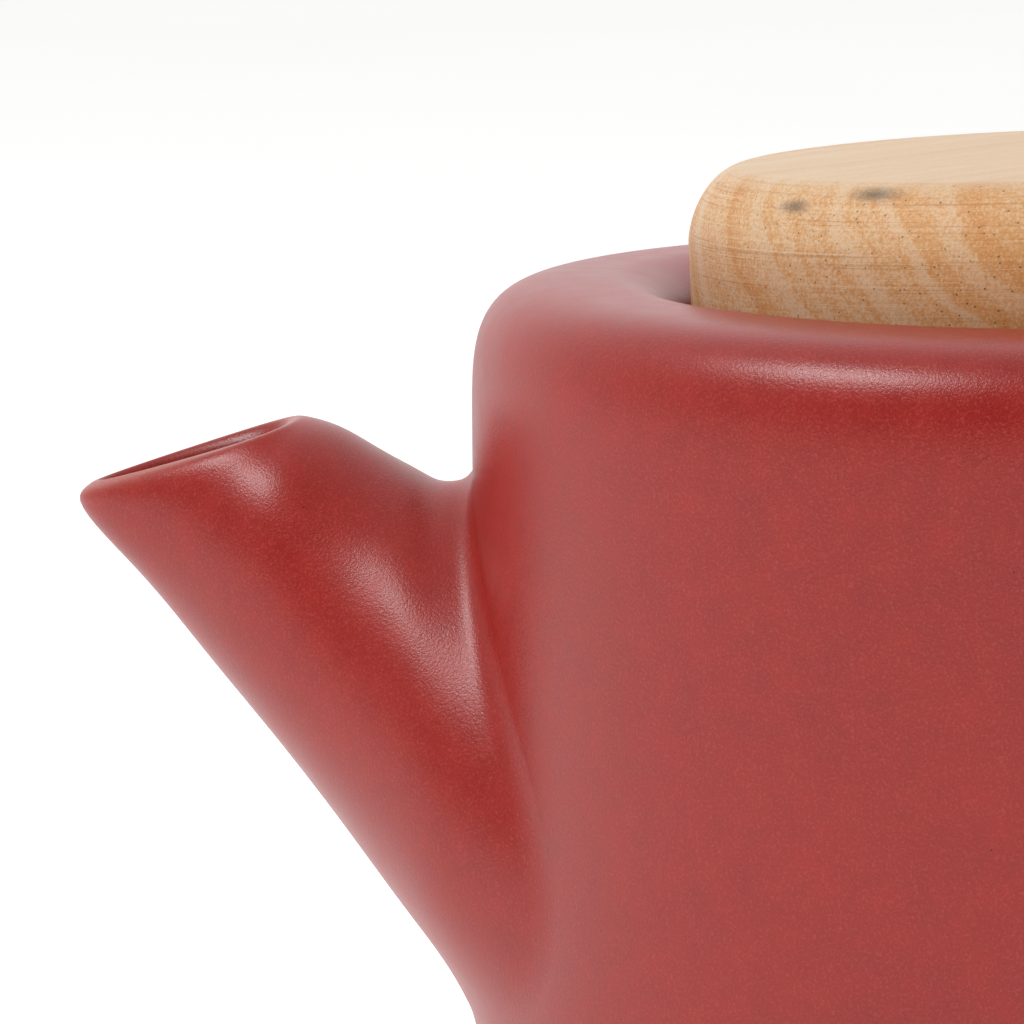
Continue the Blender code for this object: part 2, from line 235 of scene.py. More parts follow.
# Satin-matte brick red stoneware glaze. Iron colours it, and fine crystals give it a soft, sandy
# sheen with few clear reflections. A rare pinhole shows the dark body under it.
GLAZE_RED = "9B1F16"
GLAZE_DEEP = "8A1912"
# Paler red for the spout's lip: thin glaze, and a painted highlight there.
THIN_GLAZE_AND_HIGHLIGHT = "BC6450"
CRYSTAL = "B2554C"
BARE_CLAY = "C9B59B"
CLAY_SHADE = "B49C80"
PINHOLE = "3A1512"
SAND_GRAIN = 0.30 * MM
MOTTLE_SIZE = 3.5 * MM
CLOUD_SIZE = 38.0 * MM
PINHOLE_SPACING = 6.5 * MM
PINHOLE_RADIUS = 0.13 * MM
PINHOLE_CORE = 0.6
GLAZE_LINE = 0.9 * MM
GLAZE_RELIEF = 0.05 * MM
SATIN_LOW = 0.29
SATIN_HIGH = 0.38


def linear(code):
    """Linear colour from an sRGB hex value."""
    parts = [int(code[i:i + 2], 16) / 255 for i in (0, 2, 4)]
    return (*[p / 12.92 if p <= 0.04045 else ((p + 0.055) / 1.055) ** 2.4 for p in parts], 1.0)


def add(tree, kind, inputs=(), stops=(), **settings):
    """Add a node: its settings, its inputs as values or as sockets to link, and its colour stops."""
    made = tree.nodes.new(kind)
    for name, value in settings.items():
        setattr(made, name, value)
    for name, value in dict(inputs).items():
        if isinstance(value, bpy.types.NodeSocket):
            tree.links.new(value, made.inputs[name])
        else:
            made.inputs[name].default_value = value
    for i, (position, colour) in enumerate(stops):
        band = made.color_ramp.elements
        stop = band[i] if i < 2 else band.new(position)
        stop.position = position
        stop.color = linear(colour) if isinstance(colour, str) else (colour, colour, colour, 1.0)
    return made


def new_material(name):
    """Empty Principled material, its node tree and its shader."""
    material = bpy.data.materials.new(name)
    material.use_nodes = True
    tree = material.node_tree
    return material, tree, tree.nodes["Principled BSDF"]


glaze, tree, shader = new_material("satin-matte brick red stoneware glaze")
place = add(tree, "ShaderNodeTexCoord").outputs["Object"]
sand = add(tree, "ShaderNodeTexNoise",
           {"Vector": place, "Scale": 1 / SAND_GRAIN, "Detail": 2.0, "Roughness": 0.7})
mottle = add(tree, "ShaderNodeTexNoise", {"Vector": place, "Scale": 1 / MOTTLE_SIZE, "Detail": 3.0})
cloud = add(tree, "ShaderNodeTexNoise", {"Vector": place, "Scale": 1 / CLOUD_SIZE, "Detail": 2.0})
patches = add(tree, "ShaderNodeMath", {0: mottle.outputs["Fac"], 1: cloud.outputs["Fac"]}, operation="ADD")
tone = add(tree, "ShaderNodeMath", {0: sand.outputs["Fac"], 1: patches.outputs[0]}, operation="ADD")
tone = add(tree, "ShaderNodeMapRange", {"Value": tone.outputs[0], "From Min": 1.1, "From Max": 1.9})
red = add(tree, "ShaderNodeValToRGB", {"Fac": tone.outputs[0]}, stops=[(0.0, GLAZE_DEEP), (1.0, GLAZE_RED)])
crystal = add(tree, "ShaderNodeMapRange",
              {"Value": sand.outputs["Fac"], "From Min": 0.52, "From Max": 0.78, "To Max": 0.35})
red = add(tree, "ShaderNodeMix", {0: crystal.outputs[0], 6: red.outputs["Color"], 7: linear(CRYSTAL)},
          data_type="RGBA")
# Paler colour along the spout's lip, read from its attribute: thin glaze and a painted highlight.
thin_and_highlit = add(tree, "ShaderNodeAttribute", attribute_name="thin_glaze_and_highlight")
lip_pale_share = add(tree, "ShaderNodeMath", {0: thin_and_highlit.outputs["Fac"], 1: sand.outputs["Fac"]}, operation="MULTIPLY")
red = add(tree, "ShaderNodeMix", {0: lip_pale_share.outputs[0], 6: red.outputs[2], 7: linear(THIN_GLAZE_AND_HIGHLIGHT)},
          data_type="RGBA")
cells = add(tree, "ShaderNodeTexVoronoi", {"Vector": place, "Scale": 1 / PINHOLE_SPACING})
hole = add(tree, "ShaderNodeMapRange",
           {"Value": cells.outputs["Distance"], "From Min": PINHOLE_CORE * PINHOLE_RADIUS / PINHOLE_SPACING,
                                        "From Max": PINHOLE_RADIUS / PINHOLE_SPACING, "To Min": 1.0,
                                        "To Max": 0.0})
red = add(tree, "ShaderNodeMix", {0: hole.outputs[0], 6: red.outputs[2], 7: linear(PINHOLE)},
          data_type="RGBA")
height = add(tree, "ShaderNodeSeparateXYZ", {0: place}).outputs["Z"]
edge = add(tree, "ShaderNodeMath", {0: mottle.outputs["Fac"], 1: 0.8 * MM, 2: height},
           operation="MULTIPLY_ADD")
bare = add(tree, "ShaderNodeMapRange",
           {"Value": edge.outputs[0], "From Min": GLAZE_LINE, "From Max": GLAZE_LINE + 0.3 * MM,
                                        "To Min": 1.0, "To Max": 0.0})
clay = add(tree, "ShaderNodeMix", {0: sand.outputs["Fac"], 6: linear(CLAY_SHADE), 7: linear(BARE_CLAY)},
           data_type="RGBA")
colour = add(tree, "ShaderNodeMix", {0: bare.outputs[0], 6: red.outputs[2], 7: clay.outputs[2]},
             data_type="RGBA")
tree.links.new(colour.outputs[2], shader.inputs["Base Color"])
satin = add(tree, "ShaderNodeMapRange", {"Value": tone.outputs[0], "To Min": SATIN_LOW, "To Max": SATIN_HIGH})
rough = add(tree, "ShaderNodeMath", {0: bare.outputs[0], 1: 0.4, 2: satin.outputs[0]},
            operation="MULTIPLY_ADD")
tree.links.new(rough.outputs[0], shader.inputs["Roughness"])
grit = add(tree, "ShaderNodeMath", {0: hole.outputs[0], 1: -1.5, 2: sand.outputs["Fac"]},
           operation="MULTIPLY_ADD")
bump = add(tree, "ShaderNodeBump", {"Height": grit.outputs[0], "Strength": 0.9, "Distance": GLAZE_RELIEF})
tree.links.new(bump.outputs[0], shader.inputs["Normal"])

glazed_body.data.materials.clear()
glazed_body.data.materials.append(glaze)
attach(glazed_body, "pot")
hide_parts("pot_body")

# ---- Spout -------------------------------------------------------------------------------
# Cast on its own and luted to the wall over the pour hole, with the seam smoothed to a fillet.
# It is a wide oval at the root and sweeps up to an egg-shaped mouth with a thin rolled lip.
RING_POINTS = 168
SPOUT_SEAM = 2.6 * MM
SEAM_PULL = 0.62
# How strongly the lip is painted paler, for thin glaze and a painted highlight.
LIP_PALING = 0.8
HUG_RADIUS = 65.0
# Top (x, z), bottom (x, z), half width, skew to the top, pinch of the upper half, and hug, the
# share of the wall's curve that the sides follow, in mm.
SPOUT_ROOT = ((-65.0, 88.4), (-65.0, 26.2), 34.1, -0.06, 0.40, 0.0)
SPOUT_OUTSIDE = [
    ((-69.2, 87.8), (-68.4, 34.0), 29.1, -0.17, 0.17, 0.56),
    ((-72.0, 89.0), (-73.1, 39.8), 24.7, -0.16, 0.07, 0.33),
    ((-76.0, 91.2), (-80.2, 48.6), 19.5, -0.12, 0.01, 0.07),
    ((-80.2, 93.6), (-88.3, 58.4), 16.2, -0.10, -0.06, 0.04),
    ((-83.2, 94.7), (-96.5, 68.0), 13.9, -0.05, -0.13, 0.0),
    ((-84.6, 95.0), (-104.6, 77.4), 11.2, 0.05, -0.11, 0.0),
    ((-85.3, 95.0), (-111.04, 85.0), 9.0, 0.21, -0.08, 0.0),
]
SPOUT_LIP = [
    ((-86.0, 94.8), (-110.2, 86.8), 7.8, 0.29, -0.10, 0.0),
    ((-86.8, 94.3), (-109.1, 87.4), 7.0, 0.33, -0.13, 0.0),
    ((-87.3, 93.4), (-108.1, 87.0), 6.3, 0.33, -0.12, 0.0),
    ((-87.5, 92.3), (-107.0, 85.7), 5.9, 0.28, -0.1, 0.0),
]
SPOUT_CHANNEL = [
    ((-86.6, 90.6), (-102.6, 80.2), 6.4, 0.15, 0.0, 0.0), ((-83.4, 89.6), (-94.8, 71.0), 8.4, 0.0, 0.0, 0.0),
    ((-78.4, 87.6), (-86.4, 61.0), 10.8, -0.10, 0.06, 0.0),
    ((-71.6, 84.2), (-76.0, 48.6), 15.0, -0.15, 0.12, 0.3),
]
SPOUT_INNER_ROOT = ((-65.0, 81.0), (-65.0, 36.0), 22.0, -0.10, 0.12, 0.0)


def oval(top, bottom, half_width, skew=0.0, pinch=0.0, hug=0.0):
    """Points of an oval across the XZ plane, from sizes in millimetres."""
    a = np.linspace(0, 2 * math.pi, RING_POINTS, endpoint=False)
    along = np.cos(a) + skew * np.sin(a) ** 2
    y = half_width * np.sin(a) * (1 - pinch * np.cos(a))
    x = (top[0] + bottom[0]) / 2 + (top[0] - bottom[0]) / 2 * along
    z = (top[1] + bottom[1]) / 2 + (top[1] - bottom[1]) / 2 * along
    return np.stack([x + hug * (HUG_RADIUS - np.sqrt(HUG_RADIUS ** 2 - y ** 2)), y, z], 1) * MM


def lay_on_wall(points, side):
    """Move points along X onto the body's wall, on the side of -X (-1) or +X (+1)."""
    laid = points.copy()
    laid[..., 0] = side * np.sqrt(wall_radius(points[..., 2]) ** 2 - points[..., 1] ** 2)
    return laid


def spline(knots, rows, at):
    """Natural cubic splines, one down each column of points, read at its own places."""
    gaps = np.diff(knots)
    solve = np.eye(len(knots))
    pull = np.zeros_like(rows)
    for i in range(1, len(knots) - 1):
        solve[i, i - 1:i + 2] = gaps[i - 1], 2 * (gaps[i - 1] + gaps[i]), gaps[i]
        pull[i] = 6 * ((rows[i + 1] - rows[i]) / gaps[i] - (rows[i] - rows[i - 1]) / gaps[i - 1])
    bend = np.linalg.solve(solve, pull.reshape(len(knots), -1)).reshape(rows.shape)
    k = np.clip(np.searchsorted(knots, at) - 1, 0, len(gaps) - 1)
    column = np.broadcast_to(np.arange(rows.shape[1]), at.shape)
    gap = gaps[k][..., None]
    done = (at - knots[k])[..., None]
    left = gap - done
    curve = (left ** 3 * bend[k, column] + done ** 3 * bend[k + 1, column]) / (6 * gap)
    curve += (rows[k, column] / gap - gap * bend[k, column] / 6) * left
    return curve + (rows[k + 1, column] / gap - gap * bend[k + 1, column] / 6) * done


def station_knots(rows):
    """Knots for rows of points, spaced by the root of the mean step from row to row."""
    steps = np.linalg.norm(np.diff(rows, axis=0), axis=2).mean(axis=1)
    return np.concatenate([[0.0], np.cumsum(np.sqrt(steps))])


def seam(knots, rows, side, size, steps=7):
    """Luted seam from the wall up onto a loft that starts with its root ring on the wall.

    Gives the seam's rings, from the wall outwards, the wall's normals at its first ring, and the
    place on each column of the loft where the seam ends.
    """
    root = rows[0]
    fine = np.linspace(knots[0], knots[2], 240)[:, None] * np.ones(rows.shape[1])
    path = spline(knots, rows, fine)
    walked = np.cumsum(np.linalg.norm(np.diff(path, axis=0), axis=2), axis=0)
    last = np.argmax(walked > size, axis=0) + 1
    column = np.arange(rows.shape[1])
    end = path[last, column]
    leave = end - path[last - 1, column]
    leave /= np.linalg.norm(leave, axis=1)[:, None]
    radius = wall_radius(root[:, 2])
    flat = np.stack([np.arctan2(root[:, 1], side * root[:, 0]) * radius, root[:, 2]], 1)
    run = np.roll(flat, -1, axis=0) - np.roll(flat, 1, axis=0)
    out = np.stack([run[:, 1], -run[:, 0]], 1) / np.linalg.norm(run, axis=1)[:, None]
    out *= np.sign(np.sum(out * (flat - flat.mean(axis=0)), axis=1))[:, None]
    far = flat + out * size
    turn = far[:, 0] / radius
    start = np.stack([side * np.cos(turn), np.sin(turn), np.zeros_like(turn)], 1)
    normals = start.copy()
    start *= wall_radius(far[:, 1])[:, None]
    start[:, 2] = far[:, 1]
    inward = np.stack([side * np.sin(turn) * out[:, 0], -np.cos(turn) * out[:, 0], -out[:, 1]], 1)
    hold = SEAM_PULL * size
    p1, p2 = start + inward * hold, end - leave * hold
    t = np.linspace(0, 1, steps + 1)[:, None, None]
    rings = start * (1 - t) ** 3 + 3 * p1 * t * (1 - t) ** 2 + 3 * p2 * t ** 2 * (1 - t) + end * t ** 3
    return rings, normals, fine[last, column]


def between(near, far, side, shares):
    """Rings on the wall between two rings on the wall."""
    return [lay_on_wall(near + (far - near) * share, side) for share in shares]


def hold_normals(obj, ring, normals):
    """Give the outward faces at a seam ring the wall's own normals, so that the glaze runs on."""
    data = obj.data
    held = np.zeros((len(data.loops), 3))
    for face in data.polygons:
        for corner, vertex in zip(face.loop_indices, face.vertices):
            if ring <= vertex < ring + len(normals):
                wanted = normals[vertex - ring]
                if face.normal.dot(Vector(wanted)) > 0.3:
                    held[corner] = wanted
    return held


spout_rows = [lay_on_wall(oval(*SPOUT_ROOT), -1)]
spout_rows += [oval(*station) for station in SPOUT_OUTSIDE + SPOUT_LIP + SPOUT_CHANNEL]
spout_rows = np.array(spout_rows + [lay_on_wall(oval(*SPOUT_INNER_ROOT), -1)])
knots = station_knots(spout_rows)
seam_rings, wall_normals, seam_end = seam(knots, spout_rows, -1, SPOUT_SEAM)
joined = 2
t = np.linspace(0, 1, 13)[1:, None]
lower = spline(knots, spout_rows, seam_end + (knots[joined] - seam_end) * t)
steps = [np.linspace(a, b, 8)[1:] for a, b in zip(knots[joined:], knots[joined + 1:])]
upper = spline(knots, spout_rows, np.concatenate(steps)[:, None] * np.ones(RING_POINTS))
spout_rings = np.concatenate([seam_rings, lower, upper])
back = between(spout_rings[-1], spout_rings[0], -1, (0.25, 0.5, 0.75))
glazed_spout = new_piece("glazed_spout", skin(np.concatenate([spout_rings, back]), closed=True))
held = hold_normals(glazed_spout, 0, wall_normals)
glazed_spout.data.normals_split_custom_set(held)

# Along the lip the colour is painted paler: partly the glaze running thin and letting the paler body through,
# partly a painted highlight on the lip's crest.
lip_places = np.concatenate([np.full(len(seam_rings) + len(lower), knots[0]), np.concatenate(steps),
                             np.full(len(back), knots[0])])
lip_centre = knots[len(SPOUT_OUTSIDE) + 1]
lip_spread = knots[len(SPOUT_OUTSIDE) + 2] - knots[len(SPOUT_OUTSIDE) + 1]
lip_paling_amount = LIP_PALING * np.exp(-((lip_places - lip_centre) / (0.8 * lip_spread)) ** 2)
lip_pale_layer = glazed_spout.data.attributes.new("thin_glaze_and_highlight", "FLOAT", "POINT")
lip_pale_layer.data.foreach_set("value", np.repeat(lip_paling_amount, RING_POINTS))

glazed_spout.data.materials.append(glaze)
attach(glazed_spout, "pot")
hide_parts("spout")

# ---- Handle ------------------------------------------------------------------------------
# A pulled loop of oval section opposite the spout, luted on at two flared roots.
HANDLE_SEAM = 2.6 * MM
HANDLE_ROOT_HALF_HEIGHT = 10.5
HANDLE_ROOT_HALF_WIDTH = 13.0
# Centre line (x, z), half thickness and half width at each station, in mm.
HANDLE_STATIONS = [
    (69.5, 82.8, 7.0, 10.6), (76.0, 84.8, 5.4, 9.2), (87.0, 85.4, 4.9, 8.6), (97.8, 81.4, 4.8, 8.5),
    (104.4, 72.8, 4.8, 8.5), (106.4, 62.0, 4.8, 8.5), (104.0, 51.0, 4.8, 8.5), (97.4, 41.8, 4.8, 8.5),
    (87.4, 34.6, 4.9, 8.6), (76.0, 30.0, 5.4, 9.2), (69.5, 28.8, 7.0, 10.6),
]


def handle_root(height, turn):
    """Root ring of the handle on the wall, with its top on the loop's outer side."""
    half = turn * HANDLE_ROOT_HALF_HEIGHT
    return lay_on_wall(oval((65.0, height + half), (65.0, height - half), HANDLE_ROOT_HALF_WIDTH), 1)


handle_rows = [handle_root(HANDLE_STATIONS[0][1] - 0.8, 1)]
for i, (x, z, half_thickness, half_width) in enumerate(HANDLE_STATIONS):
    before = HANDLE_STATIONS[max(i - 1, 0)]
    after = HANDLE_STATIONS[min(i + 1, len(HANDLE_STATIONS) - 1)]
    run = Vector((after[0] - before[0], after[1] - before[1])).normalized() * half_thickness
    handle_rows.append(oval((x - run.y, z + run.x), (x + run.y, z - run.x), half_width))
handle_rows = np.array(handle_rows + [handle_root(HANDLE_STATIONS[-1][1] - 0.4, -1)])
knots = station_knots(handle_rows)
upper_rings, upper_normals, upper_end = seam(knots, handle_rows, 1, HANDLE_SEAM)
lower_rings, lower_normals, lower_end = seam(knots[-1] - knots[::-1], handle_rows[::-1], 1, HANDLE_SEAM)
lower_end = knots[-1] - lower_end
t = np.linspace(0, 1, 9)[1:, None]
rings = [upper_rings, spline(knots, handle_rows, upper_end + (knots[2] - upper_end) * t)]
steps = np.concatenate([np.linspace(a, b, 9)[1:] for a, b in zip(knots[2:-3], knots[3:-2])])
rings.append(spline(knots, handle_rows, steps[:, None] * np.ones(RING_POINTS)))
rings.append(spline(knots, handle_rows, knots[-3] + (lower_end - knots[-3]) * t)[:-1])
rings.append(lower_rings[::-1])
rings = np.concatenate(rings)
caps = []
for ring in (rings[0], rings[-1]):
    centre = np.broadcast_to(ring.mean(axis=0), ring.shape)
    caps.append(between(ring, centre, 1, (0.3, 0.6, 0.97)))
rings = np.concatenate([caps[0][::-1], rings, caps[1]])
glazed_handle = new_piece("glazed_handle", skin(rings, closed=False))
held = hold_normals(glazed_handle, 3 * RING_POINTS, upper_normals)
held += hold_normals(glazed_handle, (len(rings) - 4) * RING_POINTS, lower_normals)
glazed_handle.data.normals_split_custom_set(held)
glazed_handle.data.materials.append(glaze)
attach(glazed_handle, "pot")
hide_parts("handle")

# ---- Infuser collar ----------------------------------------------------------------------
# Spun from 0.8 mm stainless sheet: a flat flange that rests on the pot's ledge and a short tube.
# The spinning tool leaves fine rings in the polish.
GAP = 0.3 * MM
COLLAR_STEEL = 0.8 * MM
SHEET_STEEL = 0.6 * MM
FLANGE_RADIUS = 40.8 * MM
FLANGE_TOP = SEAT_HEIGHT + GAP + COLLAR_STEEL
COLLAR_BORE = 33.4 * MM
COLLAR_LENGTH = 11.0 * MM
STEEL_PALE = "D3D1CC"
STEEL_GREY = "B9B7B2"
SPUN_LINE = 0.25 * MM

collar_outline = [
    (COLLAR_BORE, FLANGE_TOP, 1.0 * MM), (FLANGE_RADIUS, FLANGE_TOP, 0.36 * MM),
    (FLANGE_RADIUS, FLANGE_TOP - COLLAR_STEEL, 0.36 * MM),
    (COLLAR_BORE + COLLAR_STEEL, FLANGE_TOP - COLLAR_STEEL, 0.3 * MM),
    (COLLAR_BORE + COLLAR_STEEL, FLANGE_TOP - COLLAR_LENGTH, 0.2 * MM),
    (COLLAR_BORE, FLANGE_TOP - COLLAR_LENGTH, 0.2 * MM),
]
infuser_collar = turned("infuser_collar", rounded(collar_outline), closed=True)

spun_steel, tree, shader = new_material("spun stainless steel")
place = add(tree, "ShaderNodeTexCoord").outputs["Object"]
apart = add(tree, "ShaderNodeSeparateXYZ", {0: place})
flat = add(tree, "ShaderNodeCombineXYZ", {0: apart.outputs["X"], 1: apart.outputs["Y"]})
radius = add(tree, "ShaderNodeVectorMath", {0: flat.outputs[0]}, operation="LENGTH")
track = add(tree, "ShaderNodeMath", {0: radius.outputs["Value"], 1: apart.outputs["Z"]}, operation="ADD")
lines = add(tree, "ShaderNodeTexNoise", {"W": track.outputs[0], "Scale": 1 / SPUN_LINE, "Detail": 4.0},
            noise_dimensions="1D")
smears = add(tree, "ShaderNodeTexNoise", {"Vector": place, "Scale": 1 / (9 * MM), "Detail": 3.0})
grey = add(tree, "ShaderNodeValToRGB", {"Fac": smears.outputs["Fac"]},
           stops=[(0.3, STEEL_GREY), (0.7, STEEL_PALE)])
tree.links.new(grey.outputs["Color"], shader.inputs["Base Color"])
polish = add(tree, "ShaderNodeMapRange", {"Value": lines.outputs["Fac"], "To Min": 0.16, "To Max": 0.34})
tree.links.new(polish.outputs[0], shader.inputs["Roughness"])
bump = add(tree, "ShaderNodeBump", {"Height": lines.outputs["Fac"], "Strength": 0.3, "Distance": 0.02 * MM})
tree.links.new(bump.outputs[0], shader.inputs["Normal"])
shader.inputs["Metallic"].default_value = 1.0

infuser_collar.data.materials.append(spun_steel)
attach(infuser_collar, "infuser")
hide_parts("infuser_rim")

# ---- Infuser wall ------------------------------------------------------------------------
# A punched sheet rolled to a tube and welded inside the collar and the base ring. Its holes are
# in staggered rows. Such sheet often has finer holes, and these are of a size that still shows.
BASKET_RADIUS = COLLAR_BORE - GAP
BASKET_BOTTOM = 31.0 * MM
WALL_TOP = FLANGE_TOP - COLLAR_LENGTH + 3.0 * MM
WALL_BOTTOM = BASKET_BOTTOM + COLLAR_STEEL + 2 * GAP + SHEET_STEEL
FIELD_BOTTOM = BASKET_BOTTOM + 6.5 * MM
FIELD_TOP = FLANGE_TOP - COLLAR_LENGTH - 1.5 * MM
HOLE_RADIUS = 0.75 * MM
COLUMNS = 66
ROWS = 19
MIDDLE_RADIUS = BASKET_RADIUS - SHEET_STEEL / 2
PITCH = 2 * math.pi * MIDDLE_RADIUS / COLUMNS
ROW_PITCH = (FIELD_TOP - FIELD_BOTTOM) / ROWS

# One tile of the sheet with its hole: twelve points round the hole, twelve round the tile's edge.
border = [(0.5, 0), (0.5, 0.5), (0.25, 0.5), (0, 0.5), (-0.25, 0.5), (-0.5, 0.5),
          (-0.5, 0), (-0.5, -0.5), (-0.25, -0.5), (0, -0.5), (0.25, -0.5), (0.5, -0.5)]
tile = bmesh.new()
tile_rings = []
for across, up in ((0, SHEET_STEEL / 2), (1, SHEET_STEEL / 2), (1, -SHEET_STEEL / 2), (0, -SHEET_STEEL / 2)):
    ring = []
    for i, (u, v) in enumerate(border):
        turn = 2 * math.pi * i / len(border)
        spot = (HOLE_RADIUS * math.cos(turn), HOLE_RADIUS * math.sin(turn)) if across else (u * PITCH,
                                                                                            v * ROW_PITCH)
        ring.append(tile.verts.new((*spot, up)))
    tile_rings.append(ring)
for near, far in zip(tile_rings, tile_rings[1:]):
    for i in range(len(border)):
        j = (i + 1) % len(border)
        tile.faces.new((near[i], near[j], far[j], far[i]))
perforated_wall = new_piece("perforated_wall", tile)

punched = bpy.data.node_groups.new("rolled punched sheet", "GeometryNodeTree")
punched.interface.new_socket("Geometry", in_out="OUTPUT", socket_type="NodeSocketGeometry")
punched.interface.new_socket("Tile", in_out="INPUT", socket_type="NodeSocketGeometry")
sizes = {}
for title, kind, value in (("Columns", "NodeSocketInt", COLUMNS), ("Rows", "NodeSocketInt", ROWS),
                           ("Pitch", "NodeSocketFloat", PITCH), ("Row Pitch", "NodeSocketFloat", ROW_PITCH),
                           ("Radius", "NodeSocketFloat", MIDDLE_RADIUS),
                           ("Bottom", "NodeSocketFloat", FIELD_BOTTOM),
                           ("Material", "NodeSocketMaterial", None)):
    sizes[punched.interface.new_socket(title, in_out="INPUT", socket_type=kind).identifier] = value
given = add(punched, "NodeGroupInput").outputs
count = add(punched, "ShaderNodeMath", {0: given["Columns"], 1: given["Rows"]}, operation="MULTIPLY")
spots = add(punched, "GeometryNodePoints", {"Count": count.outputs[0]})
index = add(punched, "GeometryNodeInputIndex").outputs[0]
row = add(punched, "ShaderNodeMath", {0: index, 1: given["Columns"]}, operation="DIVIDE")
row = add(punched, "ShaderNodeMath", {0: row.outputs[0]}, operation="FLOOR")
column = add(punched, "ShaderNodeMath", {0: index, 1: given["Columns"]}, operation="MODULO")
odd = add(punched, "ShaderNodeMath", {0: row.outputs[0], 1: 2.0}, operation="MODULO")
shift = add(punched, "ShaderNodeMath", {0: odd.outputs[0], 1: 0.5, 2: column.outputs[0]},
            operation="MULTIPLY_ADD")
along = add(punched, "ShaderNodeMath", {0: shift.outputs[0], 1: given["Pitch"]}, operation="MULTIPLY")
level = add(punched, "ShaderNodeMath", {0: row.outputs[0], 1: 0.5}, operation="ADD")
level = add(punched, "ShaderNodeMath", {0: level.outputs[0], 1: given["Row Pitch"], 2: given["Bottom"]},
            operation="MULTIPLY_ADD")
spot = add(punched, "ShaderNodeCombineXYZ", {0: along.outputs[0], 1: level.outputs[0]})
spots = add(punched, "GeometryNodeSetPosition", {"Geometry": spots.outputs[0], "Position": spot.outputs[0]})
sheet = add(punched, "GeometryNodeInstanceOnPoints", {"Points": spots.outputs[0], "Instance": given["Tile"]})
sheet = add(punched, "GeometryNodeRealizeInstances", {"Geometry": sheet.outputs[0]})
here = add(punched, "ShaderNodeSeparateXYZ",
           {0: add(punched, "GeometryNodeInputPosition").outputs[0]}).outputs
angle = add(punched, "ShaderNodeMath", {0: here["X"], 1: given["Radius"]}, operation="DIVIDE").outputs[0]
reach = add(punched, "ShaderNodeMath", {0: here["Z"], 1: given["Radius"]}, operation="ADD").outputs[0]
cosine = add(punched, "ShaderNodeMath", {0: angle}, operation="COSINE").outputs[0]
sine = add(punched, "ShaderNodeMath", {0: angle}, operation="SINE").outputs[0]
x = add(punched, "ShaderNodeMath", {0: reach, 1: cosine}, operation="MULTIPLY").outputs[0]
y = add(punched, "ShaderNodeMath", {0: reach, 1: sine}, operation="MULTIPLY").outputs[0]
rolled = add(punched, "ShaderNodeCombineXYZ", {0: x, 1: y, 2: here["Y"]})
sheet = add(punched, "GeometryNodeSetPosition", {"Geometry": sheet.outputs[0], "Position": rolled.outputs[0]})
sheet = add(punched, "GeometryNodeMergeByDistance", {"Geometry": sheet.outputs[0], "Distance": 0.01 * MM})
sheet = add(punched, "GeometryNodeSetMaterial", {"Geometry": sheet.outputs[0], "Material": given["Material"]})
add(punched, "NodeGroupOutput", {0: sheet.outputs[0]})

punched_steel, tree, shader = new_material("punched stainless sheet")
place = add(tree, "ShaderNodeTexCoord").outputs["Object"]
brushed = add(tree, "ShaderNodeMapping", {"Vector": place, "Scale": (60.0, 60.0, 4000.0)})
lines = add(tree, "ShaderNodeTexNoise", {"Vector": brushed.outputs[0], "Scale": 1.0, "Detail": 4.0})
smears = add(tree, "ShaderNodeTexNoise", {"Vector": place, "Scale": 1 / (12 * MM), "Detail": 2.0})
grey = add(tree, "ShaderNodeValToRGB", {"Fac": smears.outputs["Fac"]},
           stops=[(0.3, STEEL_GREY), (0.7, STEEL_PALE)])
tree.links.new(grey.outputs["Color"], shader.inputs["Base Color"])
polish = add(tree, "ShaderNodeMapRange", {"Value": lines.outputs["Fac"], "To Min": 0.24, "To Max": 0.42})
tree.links.new(polish.outputs[0], shader.inputs["Roughness"])
bump = add(tree, "ShaderNodeBump", {"Height": lines.outputs["Fac"], "Strength": 0.25, "Distance": 0.02 * MM})
tree.links.new(bump.outputs[0], shader.inputs["Normal"])
shader.inputs["Metallic"].default_value = 1.0


def grow(obj, group, values, material):
    """Run a node group on an object, keep its result as a plain mesh and drop the modifier."""
    modifier = obj.modifiers.new(group.name, "NODES")
    modifier.node_group = group
    for identifier, value in values.items():
        modifier[identifier] = material if value is None else value
    settle(obj)


grow(perforated_wall, punched, sizes, punched_steel)
sheet = bmesh.new()
sheet.from_mesh(perforated_wall.data)
inner, outer = BASKET_RADIUS - SHEET_STEEL, BASKET_RADIUS
ring_steps = 4 * COLUMNS
for near_end, field_end in ((WALL_BOTTOM, FIELD_BOTTOM), (WALL_TOP, FIELD_TOP)):
    band_rows = []
    for r, z in ((inner, field_end), (inner, near_end), (outer, near_end), (outer, field_end)):
        angles = [2 * math.pi * i / ring_steps for i in range(ring_steps)]
        band_rows.append([sheet.verts.new((r * math.cos(a), r * math.sin(a), z)) for a in angles])
    for near, far in zip(band_rows, band_rows[1:]):
        for i in range(ring_steps):
            j = (i + 1) % ring_steps
            sheet.faces.new((near[i], near[j], far[j], far[i]))
bmesh.ops.remove_doubles(sheet, verts=sheet.verts, dist=0.02 * MM)
bmesh.ops.recalc_face_normals(sheet, faces=sheet.faces)
sheet.to_mesh(perforated_wall.data)
sheet.free()
perforated_wall.data.shade_smooth()
perforated_wall.data.set_sharp_from_angle(angle=SHARP_ANGLE)
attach(perforated_wall, "infuser")
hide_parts("infuser_wall")

